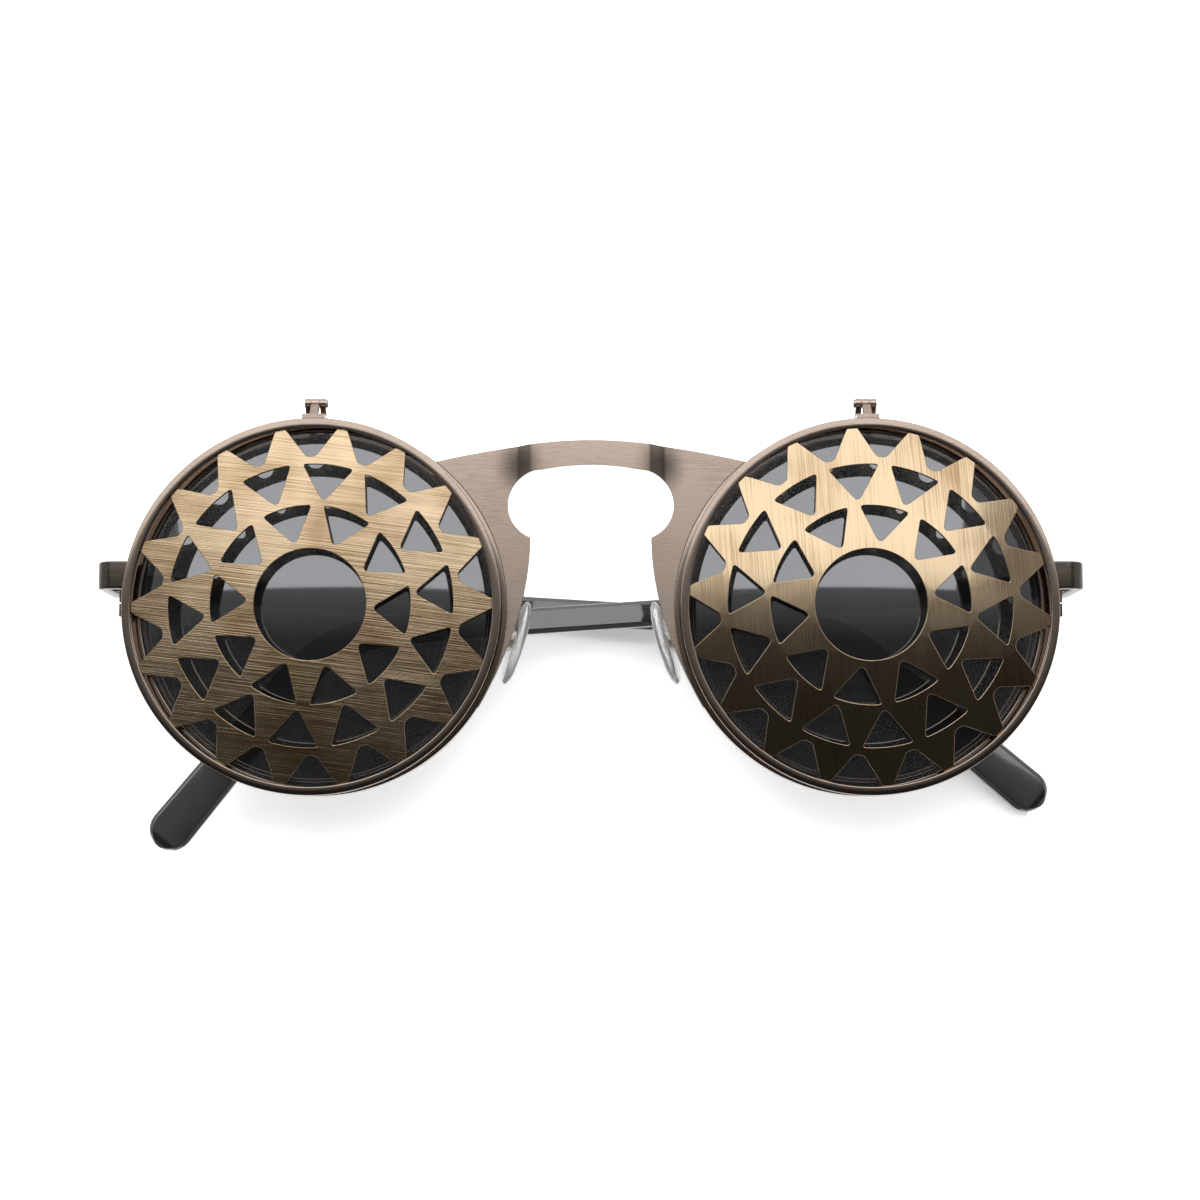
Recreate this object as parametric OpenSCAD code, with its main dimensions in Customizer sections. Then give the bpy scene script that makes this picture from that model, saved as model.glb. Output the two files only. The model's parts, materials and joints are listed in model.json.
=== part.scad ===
// Round flip-up spectacles, lying on their back with the temples folded.
// +X runs to the viewer's right, +Y to the brow, +Z out of the front.

/* [Front] */
// Distance between the centres of the two fixed rims
rim_pitch = 76.4; // [68:0.2:90]
// Outer radius of each fixed rim
rim_r = 26.4; // [22:0.1:30]
// Radial thickness of the fixed rim
rim_wall = 1.3; // [1:0.1:1.8]
// Depth of the fixed rim, back to front
rim_depth = 2.2; // [1.8:0.1:3]
// Depth of the groove that holds the lens
lens_groove = 0.4; // [0.2:0.05:0.6]

/* [Lenses] */
// Thickness of each tinted lens
lens_t = 1.8; // [1.4:0.1:2.4]
// Radius of the lens's curve
lens_curve_r = 130; // [90:5:200]

/* [Flip rings] */
// Outer radius of each flip ring
flip_r = 26.4; // [22:0.1:30]
// Radial thickness of the flip ring
flip_wall = 1.2; // [1:0.1:1.6]
// Depth of the flip ring, back to front
flip_depth = 1.8; // [1.4:0.1:2.4]
// Gap between a fixed rim's front and its flip ring
flip_gap = 1.8; // [1.2:0.1:3]
// How far each flip ring sits outboard of its rim
flip_shift = 0.7; // [0:0.1:1]

/* [Sunburst screens] */
// Thickness of the screen's sheet
screen_t = 0.6; // [0.4:0.05:0.9]
// Rise of the domed screen at its centre
screen_rise = 2; // [1:0.1:3]
// Radius of the hole in the middle
eye_r = 7.8; // [6:0.1:8.6]
// Number of teeth around the edge
teeth = 18; // [12:1:24]
// Number of windows in the middle row
mid_windows = 14; // [10:1:16]
// Number of windows in the inner row
inner_windows = 10; // [8:1:12]
// Width of a tooth's tip
tooth_tip_w = 1.1; // [0.8:0.1:1.6]
// Turn of the left screen's teeth, middle and inner rows, in degrees
left_turn = [0.7, 6.4, 32.5];
// Turn of the right screen's teeth, middle and inner rows, in degrees
right_turn = [15.1, 19.3, 9.3];

/* [Bridge] */
// Thickness of the bridge's sheet
bridge_t = 1; // [0.7:0.05:1.3]
// Height of the arch's top above the rims' centres
arch_top = 23.75; // [22:0.05:25]
// Height of the band across the top of the keyhole
arch_band = 3.55; // [2.5:0.05:4.5]
// Radius of the keyhole's rounded sides
keyhole_r = 4.95; // [4:0.05:5.5]
// How far the keyhole's top rises in the middle
keyhole_crown = 0.65; // [0:0.05:1]
// Distance between the nasal corners of the two wings
wing_gap = 17; // [15:0.1:19]
// How far the arch is pressed forward of the wings
arch_lift = 0.9; // [0.4:0.1:1.4]

/* [Endpieces and temple hinges] */
// How far the front reaches past each rim
endpiece_reach = 5.1; // [4:0.1:7]
// Height of the endpiece's strip
endpiece_h = 3.9; // [3.2:0.1:5]
// Thickness of the endpiece's strip
endpiece_t = 1.5; // [1.1:0.1:1.9]
// Height of the endpieces above the rims' centres
endpiece_y = 4.7; // [3:0.1:8]
// Distance from the temple hinges back to front, axis to rim
fold_room = 11.4; // [11:0.1:15]
// Radius of the temple hinge's knuckles
knuckle_r = 1.3; // [1.1:0.05:1.5]
// Length of the temple hinge's three knuckles together
barrel_h = 3.3; // [2.8:0.1:4]
// Radius of the temple hinge screw's shank
temple_pin_r = 0.7; // [0.5:0.05:0.8]

/* [Flip hinges] */
// Radius of the flip hinge's knuckles
flip_knuckle_r = 0.7; // [0.6:0.05:0.9]
// Radius of the flip hinge's pin
flip_pin_r = 0.35; // [0.25:0.05:0.45]
// Width of the flip hinge across its knuckles
flip_hinge_w = 2.9; // [2.4:0.1:3.6]
// Height of the flip hinge's axis above the rims
flip_axis_up = 2.5; // [1.8:0.1:3]

/* [Temples] */
// Length of each temple along its middle line, from the hinge
temple_len = 141.5; // [120:0.5:150]
// Where the temple starts to bend down to the ear
bend_start = 95.3; // [85:0.1:105]
// Radius of that bend
bend_r = 20; // [14:1:26]
// Bend of the left temple's tip, in degrees
left_bend = 37; // [25:1:50]
// Bend of the right temple's tip, in degrees
right_bend = 47; // [25:1:50]
// Slope of the left temple down from its hinge, in degrees
left_droop = 3.4; // [2:0.1:5]
// Slope of the right temple down from its hinge, in degrees
right_droop = 4.4; // [2:0.1:6]
// Height of the metal arm
arm_h = 3.5; // [3:0.1:4.5]
// Thickness of the metal arm
arm_t = 1.2; // [0.9:0.1:1.5]
// Where the sleeve starts, from the hinge
sleeve_start = 31.5; // [25:0.5:40]
// Height of the sleeve on its straight stretch
sleeve_h = 3.8; // [3.4:0.1:5]
// Thickness of the sleeve
sleeve_t = 2.6; // [2.2:0.1:3.2]
// Height of the sleeve at its rounded end
tip_h = 6.2; // [5:0.1:8]
// Length of the core wire that is left short of the sleeve's end
core_short = 12; // [8:1:20]

/* [Nose pads] */
// Length of each nose pad
pad_h = 12.4; // [10:0.2:15]
// Width of each nose pad
pad_w = 6.2; // [5:0.1:6.8]
// Thickness of each nose pad
pad_t = 1.6; // [1.2:0.1:2]
// Distance between the middles of the two pads
pad_spread = 21.2; // [19:0.1:23]
// Height of the pads' middle against the rims' centres
pad_y = -4.6; // [-7:0.1:-2]
// Turn of the pads about the vertical, in degrees
pad_splay = 22; // [12:1:30]
// Lean of the pads, top inwards, in degrees
pad_lean = 16; // [5:1:18]
// Radius of the pad arm's wire
pad_wire_r = 0.5; // [0.4:0.05:0.7]

/* [Hidden] */
$fn = 160;

bronze = [0.62, 0.52, 0.40];
dark_bronze = [0.30, 0.24, 0.19];
steel = [0.62, 0.60, 0.56];
smoke = [0.20, 0.20, 0.22, 0.75];
black = [0.05, 0.05, 0.06];
clear = [0.92, 0.94, 0.95, 0.4];

running = 0.04;     // radial clearance of a pin in its knuckles
snug = 0.05;        // clearance of a piece held in a groove or a cavity
side_gap = 0.08;    // clearance between the knuckles of a hinge
stack_gap = 0.3;    // clearance between the folded temples
past = 1;           // how far a cutter runs past what it cuts

// Temple hinges
pivot_in = endpiece_t + knuckle_r + 0.5;
outer_x = rim_pitch / 2 + rim_r + endpiece_reach;
pivot_x = outer_x - pivot_in;
sleeve_proud = (sleeve_t - arm_t) / 2;
pivot_z = pivot_in + sleeve_proud;
butt_gap = 0.05;
middle_knuckle = barrel_h / 3;
leaf_t = pivot_in - arm_t - knuckle_r - 0.15;
leaf_len = 7;
screw_head_r = knuckle_r - 0.2;
screw_head_h = 0.5;

// Layers of the front, from the back
rim_z = pivot_z + fold_room;
rim_front = rim_z + rim_depth;
lens_mid = rim_z + rim_depth / 2;
flip_z = rim_front + flip_gap;
flip_mid = flip_z + flip_depth / 2;
flip_front = flip_z + flip_depth;
bridge_z = rim_front - 0.1 - bridge_t;
endpiece_z = rim_z + 0.4;

// Rims, lenses and screens
rim_x = rim_pitch / 2;
flip_x = rim_x + flip_shift;
lens_r = rim_r - rim_wall + lens_groove - snug;
lens_ridge = 0.7;
flip_groove = 0.35;
screen_r = flip_r - flip_wall + flip_groove - snug;
edge_round = 0.2;

// Bands of the screen, from the eye out
ray_w = 1.2;
inner_apex_r = eye_r + ray_w;
inner_arc_r = inner_apex_r + 4.9;
mid_apex_r = inner_arc_r + 1;
gap_root_r = screen_r - 4.6;
mid_arc_r = gap_root_r - 1.1;
window_bar = 1.75;
gap_root_w = 1.3;
corner_r = 0.5;

// Flip hinges
flip_axis_y = max(rim_r, flip_r) + flip_axis_up;
flip_axis_z = (rim_front + flip_z) / 2;
flip_middle_w = flip_hinge_w * 0.38;
flange_t = 0.6;
flange_w = flip_hinge_w + 0.3;
flip_head_r = 0.6;
flip_head_h = 0.35;

// Rim locks, on the back of the rims below the endpieces
lock_split = 0.2;
lock_h = 1.8;
lock_d = 2;
lock_out = 1.7;
lock_y = endpiece_y - endpiece_h / 2 - 0.15 - lock_h - lock_split / 2;
lock_pin_r = 0.5;

// Temples
end_r = tip_h / 2;
core_h = sleeve_h / 2;
core_t = arm_t - 0.2;
path_step = 2;
crossing_in = 2.5;  // the bend takes the lower sleeve out of the way this much sooner
overlap_at = pivot_x - (sleeve_h + pivot_x * (tan(right_droop) - tan(left_droop)))
    / (tan(left_droop) + tan(right_droop));
temple_lift = asin((sleeve_t + stack_gap) / (overlap_at + crossing_in));

// Nose pads
pad_box_r = 1.5;
pad_box_h = 0.9;
pad_stem_r = 0.85;
pad_z = bridge_z - 0.3 - pad_w / 2 * cos(pad_splay) - pad_t / 2 * sin(pad_splay);

// The whole row is set so that its box is centred over the origin
function tip_x(bend) = bend_start + bend_r * sin(bend) + tip_run(bend) * cos(bend);
function tip_y(bend) = -bend_r * (1 - cos(bend)) - tip_run(bend) * sin(bend);
function tip_run(bend) = temple_len - bend_start - bend_r * bend * PI / 180 - end_r;
function tip_low(bend, droop, lift) = endpiece_y - tip_x(bend) * cos(lift) * sin(droop)
    + tip_y(bend) * cos(droop) - end_r;
lowest_y = min(tip_low(left_bend, left_droop, 0), tip_low(right_bend, right_droop, temple_lift));
rim_y = -(lowest_y + flip_axis_y + flip_knuckle_r) / 2;

// A point at radius r and angle a
function polar(r, a) = [r * cos(a), r * sin(a)];

// A quadratic curve from a to c, pulled towards b, in n steps
function bow(a, b, c, n) = [for (i = [0:n]) let (t = i / n)
    (1 - t) * (1 - t) * a + 2 * t * (1 - t) * b + t * t * c];

// The corner b between a and c, rounded back by d along each side
function rounded(a, b, c, d) = bow(
    b + (a - b) * d / norm(a - b), b, b + (c - b) * d / norm(c - b), 3);

// Half as many degrees as a width w takes at radius r
function half_angle(w, r) = asin(w / 2 / r);

// Middle line of a temple at the distance s along it: x, y and heading
function temple_at(s, bend) =
    let (turn = min(bend, max(0, (s - bend_start) / bend_r * 180 / PI)))
    let (run = max(0, s - bend_start - bend_r * bend * PI / 180))
    [min(s, bend_start) + bend_r * sin(turn) + run * cos(bend),
     -bend_r * (1 - cos(turn)) - run * sin(bend), -turn];

// Half the sleeve's height at the distance s
function sleeve_half(s) = sleeve_h / 2 + (end_r - sleeve_h / 2)
    * pow(max(0, (s - bend_start + 6) / (temple_len - end_r - bend_start + 6)), 0.7);

// Half circle that closes the sleeve's end
function sleeve_cap(bend) = [for (a = [80:-10:-80])
    [tip_x(bend) + end_r * cos(a - bend), tip_y(bend) + end_r * sin(a - bend)]];

// One side of a strip of half-height h(s) that follows the temple's middle line
function temple_side(from, to, bend, up, half) = [
    for (i = [0:ceil((to - from) / path_step)])
    let (s = min(to, from + i * path_step), p = temple_at(s, bend))
    let (h = half == 0 ? sleeve_half(s) : half)
    [p[0] - up * h * sin(p[2]), p[1] + up * h * cos(p[2])]];

function reversed(list) = [for (i = [len(list) - 1:-1:0]) list[i]];

// ------------------------------------------------------------ places

// The right-hand copy is the mirror image of the left-hand one
module on_side(side) {
    translate([0, rim_y, 0])
        mirror([side > 0 ? 1 : 0, 0, 0])
            children();
}

// Hinge frame of a temple: x along the folded arm, y along the hinge's axis
module at_pivot(side) {
    droop = side > 0 ? right_droop : left_droop;
    on_side(side)
        translate([-pivot_x, endpiece_y, pivot_z])
            rotate([0, 0, -droop])
                children();
}

// The right temple lies over the left one, so it is folded a little further
module at_temple(side) {
    at_pivot(side)
        rotate([0, side > 0 ? -temple_lift : 0, 0])
            children();
}

// Extrudes an outline drawn in Y and Z along X
module along_x(from, to) {
    translate([from, 0, 0])
        rotate([90, 0, 90])
            linear_extrude(to - from)
                children();
}

// Extrudes an outline drawn in X and Z along Y
module along_y(from, to) {
    translate([0, to, 0])
        rotate([90, 0, 0])
            linear_extrude(to - from)
                children();
}

// A cylinder along Y, from one place to another
module rod_y(r, from, to) {
    translate([0, from, 0])
        rotate([-90, 0, 0])
            cylinder(r = r, h = to - from);
}

// A cylinder along X, from one place to another
module rod_x(r, from, to) {
    translate([from, 0, 0])
        rotate([0, 90, 0])
            cylinder(r = r, h = to - from);
}

// ------------------------------------------------------------ front

// Section of a ring with a groove in its inner wall, from its back up
module ring_section(r, wall, depth, groove, groove_w) {
    e = edge_round;
    mid = depth / 2;
    polygon([
        [r - wall, 0], [r - e, 0], [r, e], [r, depth - e], [r - e, depth], [r - wall, depth],
        [r - wall, mid + groove_w / 2], [r - wall + groove, mid + groove_w / 2],
        [r - wall + groove, mid - groove_w / 2], [r - wall, mid - groove_w / 2]
    ]);
}

module rim(side) {
    color(bronze)
        on_side(side)
            difference() {
                translate([-rim_x, 0, rim_z])
                    rotate_extrude()
                        ring_section(rim_r, rim_wall, rim_depth, lens_groove, lens_ridge + 0.1);
                translate([-rim_x - rim_r - past, lock_y - lock_split / 2, rim_z - past])
                    cube([rim_wall + 2 * past, lock_split, rim_depth + 2 * past]);
            }
}

// A dome of radius r and thickness t whose middle surface is at height z on the circle seat_r
module dome(r, t, seat_r, z) {
    translate([0, 0, z - sqrt(r * r - seat_r * seat_r)])
        difference() {
            sphere(r = r + t / 2);
            sphere(r = r - t / 2);
        }
}

module lens(side) {
    open_r = rim_r - rim_wall;
    color(smoke)
        on_side(side)
            translate([-rim_x, 0, 0])
                intersection() {
                    dome(lens_curve_r, lens_t, open_r, lens_mid);
                    union() {
                        translate([0, 0, rim_z - past])
                            cylinder(r = open_r - snug, h = 3 * rim_depth);
                        translate([0, 0, lens_mid - lens_ridge / 2])
                            cylinder(r = lens_r, h = lens_ridge);
                    }
                }
}

// Half of the bridge's outline, with the part that the rim takes away left on
module bridge_half() {
    crown = arch_top - arch_band;
    key = [-keyhole_r - 1.8, crown - keyhole_crown - keyhole_r];
    inset = -wing_gap / 2 - key[0];
    corner = [-wing_gap / 2, key[1] - sqrt(keyhole_r * keyhole_r - inset * inset)];
    lower_tip = [-rim_x + 22.5, -14];
    difference() {
        polygon(concat(
            bow([0, arch_top], [-9, arch_top], [-rim_x + 15.2, arch_top - 3.2], 12),
            [[-rim_x + 15, -16], lower_tip],
            reversed(bow(corner, [corner[0] - 0.1, -1.4], lower_tip, 12)),
            [[0, corner[1]]]
        ));
        translate(key)
            circle(r = keyhole_r);
        polygon(concat(
            [[past, corner[1] - past], [key[0], corner[1] - past]],
            bow([key[0], crown - keyhole_crown], [key[0] / 2, crown], [0, crown], 6),
            [[past, crown]]
        ));
    }
}

// Profile of the arch's sheet in X and Z: pressed forward between its two bends
module arch_profile() {
    inner = 7.9;
    outer = 10.9;
    half = [for (i = [0:8]) let (t = i / 8)
        [-outer + (outer - inner) * t, arch_lift * (1 - cos(180 * t)) / 2]];
    line = concat([[-rim_x, 0]], half, [for (p = reversed(half)) [-p[0], p[1]]], [[rim_x, 0]]);
    polygon(concat(line, [for (p = reversed(line)) [p[0], p[1] + bridge_t]]));
}

module bridge_plate() {
    split_y = arch_top - arch_band - 3;
    color(bronze)
        translate([0, rim_y, 0])
            difference() {
                intersection() {
                    translate([0, 0, bridge_z - past])
                        linear_extrude(bridge_t + arch_lift + 2 * past) {
                            bridge_half();
                            mirror([1, 0])
                                bridge_half();
                        }
                    union() {
                        translate([-rim_x, -rim_r, bridge_z])
                            cube([2 * rim_x, rim_r + split_y, bridge_t]);
                        translate([0, 0, bridge_z])
                            along_y(split_y, arch_top + past)
                                arch_profile();
                    }
                }
                for (side = [-1, 1])
                    translate([side * rim_x, 0, rim_z])
                        cylinder(r = rim_r, h = 2 * rim_depth);
            }
}

// ------------------------------------------------------------ flip-up rings

module flip_rim(side) {
    color(bronze)
        on_side(side)
            translate([-flip_x, 0, flip_z])
                rotate_extrude()
                    ring_section(flip_r, flip_wall, flip_depth, flip_groove, screen_t + 0.25);
}

// Gap between two teeth, open at the screen's edge
function tooth_gap() =
    let (w = 180 / teeth - half_angle(tooth_tip_w, screen_r))
    let (b = [gap_root_r, -gap_root_w / 2], c = [gap_root_r, gap_root_w / 2])
    let (a = polar(screen_r, -w), d = polar(screen_r, w))
    concat([a + (a - b) / 4], rounded(a, b, c, corner_r), rounded(b, c, d, corner_r), [d + (d - c) / 4]);

// Window with an arc outside and a point inside, n of them to the circle
function window(arc_r, apex_r, n) =
    let (w = 180 / n - half_angle(window_bar, arc_r), a = polar(arc_r, -w))
    let (b = polar(arc_r, w), tip = [apex_r - corner_r, 0])
    let (near = corner_r * 180 / PI / arc_r)
    concat(
        bow(a + (tip - a) * corner_r / norm(tip - a), a, polar(arc_r, near - w), 3),
        [for (t = [0.25, 0.5, 0.75]) polar(arc_r, (near - w) * (1 - 2 * t))],
        bow(polar(arc_r, w - near), b, b + (tip - b) * corner_r / norm(tip - b), 3),
        rounded(b, tip, a, 2 * corner_r)
    );

module screen_outline(turn) {
    difference() {
        circle(r = screen_r);
        circle(r = eye_r);
        for (k = [0:teeth - 1])
            rotate(turn[0] + (k + 0.5) * 360 / teeth)
                polygon(tooth_gap());
        for (k = [0:mid_windows - 1])
            rotate(turn[1] + k * 360 / mid_windows)
                polygon(window(mid_arc_r, mid_apex_r, mid_windows));
        for (k = [0:inner_windows - 1])
            rotate(turn[2] + k * 360 / inner_windows)
                polygon(window(inner_arc_r, inner_apex_r, inner_windows));
    }
}

module screen(side) {
    turn = side > 0 ? right_turn : left_turn;
    dome_r = (screen_r * screen_r + screen_rise * screen_rise) / 2 / screen_rise;
    color([0.72, 0.60, 0.42])
        translate([side * flip_x, rim_y, 0])
            intersection() {
                dome(dome_r, screen_t, screen_r, flip_mid);
                translate([0, 0, flip_z])
                    linear_extrude(flip_depth + screen_rise + past)
                        screen_outline(turn);
            }
}

// Shoe that sits on a ring's outer wall at the top, and is soldered to it
module flip_shoe(ring_x, r, from, to) {
    intersection() {
        translate([-flip_x - flange_w / 2, 0, from])
            cube([flange_w, r + flange_t, to - from]);
        translate([-ring_x, 0, from])
            cylinder(r = r + flange_t, h = to - from);
    }
}

// Web from a shoe up to a knuckle, in Y and Z
module flip_web(r, near_z, far_z) {
    up = flip_knuckle_r * 0.7;
    polygon([
        [r - 0.2, near_z], [r + 0.3, near_z], [flip_axis_y - up, flip_axis_z],
        [flip_axis_y, flip_axis_z], [flip_axis_y + up, flip_axis_z],
        [r + flange_t, far_z], [r - 0.2, far_z]
    ]);
}

// Places a flip hinge's pieces: X counted from the middle of its knuckles
module at_flip_axis() {
    translate([-flip_x, flip_axis_y, flip_axis_z])
        children();
}

module flip_leaf(side) {
    w = flip_middle_w / 2;
    color(bronze)
        on_side(side)
            difference() {
                union() {
                    flip_shoe(flip_x, flip_r, flip_z + 0.1, flip_front - 0.1);
                    along_x(-flip_x - w, -flip_x + w)
                        flip_web(flip_r, flip_z + 0.4, flip_front - 0.3);
                    at_flip_axis()
                        rod_x(flip_knuckle_r, -w, w);
                }
                translate([-flip_x, 0, flip_z - past])
                    cylinder(r = flip_r, h = flip_depth + 2 * past);
                at_flip_axis()
                    rod_x(flip_pin_r + running, -w - past, w + past);
            }
}

module flip_base(side) {
    inner = flip_middle_w / 2 + side_gap;
    outer = flip_hinge_w / 2;
    color(dark_bronze)
        on_side(side)
            difference() {
                union() {
                    flip_shoe(rim_x, rim_r, rim_z + 0.1, rim_front - 0.1);
                    for (at = [-outer, inner]) {
                        along_x(-flip_x + at, -flip_x + at + outer - inner)
                            flip_web(rim_r, rim_front - 0.4, rim_z + 0.4);
                        at_flip_axis()
                            rod_x(flip_knuckle_r, at, at + outer - inner);
                    }
                }
                translate([-rim_x, 0, rim_z - past])
                    cylinder(r = rim_r, h = rim_depth + 2 * past);
                at_flip_axis()
                    rod_x(flip_pin_r + running, -outer - past, outer + past);
            }
}

module flip_screw(side) {
    half = flip_hinge_w / 2;
    color(steel)
        on_side(side)
            at_flip_axis() {
                rod_x(flip_pin_r, -half, half + flip_head_h / 2);
                rod_x(flip_head_r, half, half + flip_head_h);
            }
}

// ------------------------------------------------------------ endpieces

// Bent strip in X and Z, from the rim round the corner to the hinge
module endpiece_profile() {
    bend = 2.2;
    top = endpiece_z + endpiece_t;
    translate([-rim_x - rim_r, endpiece_z])
        square([1.5, endpiece_t]);
    translate([-outer_x + bend, endpiece_z])
        square([endpiece_reach - bend, endpiece_t]);
    translate([-outer_x, pivot_z + butt_gap])
        square([endpiece_t, top - bend - pivot_z - butt_gap]);
    translate([-outer_x + bend, top - bend])
        intersection() {
            difference() {
                circle(r = bend);
                circle(r = bend - endpiece_t);
            }
            translate([-bend, 0])
                square(bend);
        }
}

module endpiece(side) {
    color(bronze)
        on_side(side)
            difference() {
                along_y(endpiece_y - endpiece_h / 2, endpiece_y + endpiece_h / 2)
                    endpiece_profile();
                translate([-rim_x, 0, rim_z - past])
                    cylinder(r = rim_r, h = rim_depth + 2 * past);
            }
}

// Two blocks, one on each end of the split rim, that one screw draws together
module rim_lock(side) {
    color(dark_bronze)
        on_side(side)
            for (y = [lock_y - lock_split / 2 - lock_h, lock_y + lock_split / 2])
                difference() {
                    translate([-rim_x - rim_r - lock_out, y, rim_z])
                        cube([lock_out + 0.6, lock_h, lock_d]);
                    translate([-rim_x, 0, rim_z - past])
                        cylinder(r = rim_r, h = rim_depth + 2 * past);
                    at_lock_axis()
                        rod_y(lock_pin_r + running, -2 * lock_h, 2 * lock_h);
                }
}

module at_lock_axis() {
    translate([-rim_x - rim_r - lock_out / 2, lock_y, rim_z + lock_d / 2])
        children();
}

module rim_lock_screw(side) {
    bottom = -lock_h - lock_split / 2;
    color(steel)
        on_side(side)
            at_lock_axis() {
                rod_y(lock_pin_r, bottom - 0.2, -bottom - 0.2);
                rod_y(lock_pin_r + 0.25, bottom - 0.4, bottom);
            }
}

// ------------------------------------------------------------ temple hinges

module pin_hole() {
    rod_y(temple_pin_r + running, -barrel_h, barrel_h);
}

module hinge_front(side) {
    w = middle_knuckle / 2;
    over = knuckle_r + 0.15;
    color(dark_bronze)
        difference() {
            at_pivot(side)
                difference() {
                    union() {
                        rod_y(knuckle_r, -w, w);
                        along_y(-w, w)
                            polygon([[-pivot_in, butt_gap], [0, butt_gap], [knuckle_r * 0.7, knuckle_r * 0.7],
                                [0, over], [-pivot_in, over + 0.2]]);
                        translate([-pivot_in, -barrel_h / 2, over])
                            cube([endpiece_t - 0.6 + (pivot_in - endpiece_t) * 0.6, barrel_h, 5]);
                    }
                    pin_hole();
                }
            on_side(side)
                translate([-outer_x - past, endpiece_y - 2 * endpiece_h, pivot_z - past])
                    cube([endpiece_t + past, 4 * endpiece_h, fold_room]);
        }
}

module hinge_rear(side) {
    inner = middle_knuckle / 2 + side_gap;
    outer = barrel_h / 2;
    leaf_z = -pivot_in + arm_t;
    color(dark_bronze)
        at_temple(side)
            difference() {
                union() {
                    translate([butt_gap, -outer, leaf_z])
                        cube([leaf_len, barrel_h, leaf_t]);
                    for (at = [-outer, inner]) {
                        rod_y(knuckle_r, at, at + outer - inner);
                        translate([butt_gap, at, leaf_z])
                            cube([knuckle_r, outer - inner, -leaf_z]);
                    }
                }
                pin_hole();
            }
}

module temple_screw(side) {
    half = barrel_h / 2;
    color(steel)
        at_temple(side)
            difference() {
                union() {
                    rod_y(temple_pin_r, -half, half + screw_head_h / 2);
                    rod_y(screw_head_r, half, half + screw_head_h);
                }
                translate([-screw_head_r, half + screw_head_h - 0.25, -0.15])
                    cube([2 * screw_head_r, past, 0.3]);
            }
}

// ------------------------------------------------------------ temples

// Core wire that runs on from the arm inside the sleeve
module core_outline(bend, room, end) {
    h = core_h / 2 + room;
    polygon(concat(
        temple_side(sleeve_start - 0.5, end + room, bend, 1, h),
        reversed(temple_side(sleeve_start - 0.5, end + room, bend, -1, h))
    ));
}

module temple_arm(side) {
    bend = side > 0 ? right_bend : left_bend;
    middle = -pivot_in + arm_t / 2;
    color(bronze)
        at_temple(side) {
            translate([butt_gap, -arm_h / 2, -pivot_in])
                cube([sleeve_start - butt_gap, arm_h, arm_t]);
            translate([0, 0, middle - core_t / 2])
                linear_extrude(core_t)
                    core_outline(bend, 0, temple_len - core_short);
        }
}

module sleeve(side) {
    bend = side > 0 ? right_bend : left_bend;
    middle = -pivot_in + arm_t / 2;
    last = temple_len - end_r;
    color(black)
        at_temple(side)
            difference() {
                translate([0, 0, middle - sleeve_t / 2])
                    linear_extrude(sleeve_t)
                        polygon(concat(
                            temple_side(sleeve_start, last, bend, 1, 0),
                            sleeve_cap(bend),
                            reversed(temple_side(sleeve_start, last, bend, -1, 0))
                        ));
                translate([0, 0, middle - core_t / 2 - snug])
                    linear_extrude(core_t + 2 * snug)
                        core_outline(bend, snug, temple_len - core_short);
            }
}

// ------------------------------------------------------------ nose pads

// Pad frame: z out of the pad's face towards the nose, y along the pad
module at_pad() {
    translate([-pad_spread / 2, pad_y, pad_z])
        rotate([0, 0, -pad_lean])
            rotate([0, 90 + pad_splay, 0])
                children();
}

module pad_box_solid() {
    translate([0, 0, -pad_t / 2 - pad_box_h])
        cylinder(r = pad_box_r, h = pad_box_h);
}

module nose_pad(side) {
    steps = 32;
    color(clear)
        on_side(side)
            at_pad() {
                translate([0, 0, -pad_t / 2])
                    linear_extrude(pad_t)
                        polygon([for (i = [0:steps - 1]) let (a = 360 * i / steps)
                            [pad_w / 2 * cos(a), pad_h / 2 * sin(a)]]);
                translate([0, 0, -pad_t / 2 - pad_box_h + 0.2])
                    cylinder(r = pad_stem_r, h = pad_box_h);
            }
}

module pad_box(side) {
    color(steel)
        on_side(side)
            at_pad()
                difference() {
                    pad_box_solid();
                    translate([0, 0, -pad_t / 2 - pad_box_h + 0.15])
                        cylinder(r = pad_stem_r + snug, h = pad_box_h);
                }
}

// A length of straight wire from a, running a little past b
module wire(a, b) {
    d = b - a;
    translate(a)
        rotate([0, acos(d[2] / norm(d)), atan2(d[1], d[0])])
            cylinder(r = pad_wire_r, h = norm(d) + 0.3);
}

module pad_arm(side) {
    root_a = -9;
    root_r = rim_r - rim_wall / 2;
    root = [-rim_x + root_r * cos(root_a), root_r * sin(root_a), rim_z];
    knee = [root[0] - 1.2, pad_y - 0.2, rim_z - 2.6];
    back = [-pad_spread / 2 - (pad_t / 2 + pad_box_h) * cos(pad_splay), pad_y,
        pad_z - (pad_t / 2 + pad_box_h) * sin(pad_splay)];
    color(steel)
        on_side(side)
            difference() {
                union() {
                    wire(knee, root);
                    wire(knee, back);
                    translate(knee)
                        sphere(r = pad_wire_r * 1.1);
                }
                translate([-2 * rim_x, -rim_r, rim_z])
                    cube([2 * rim_x, 2 * rim_r, past]);
                at_pad()
                    pad_box_solid();
            }
}

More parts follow.
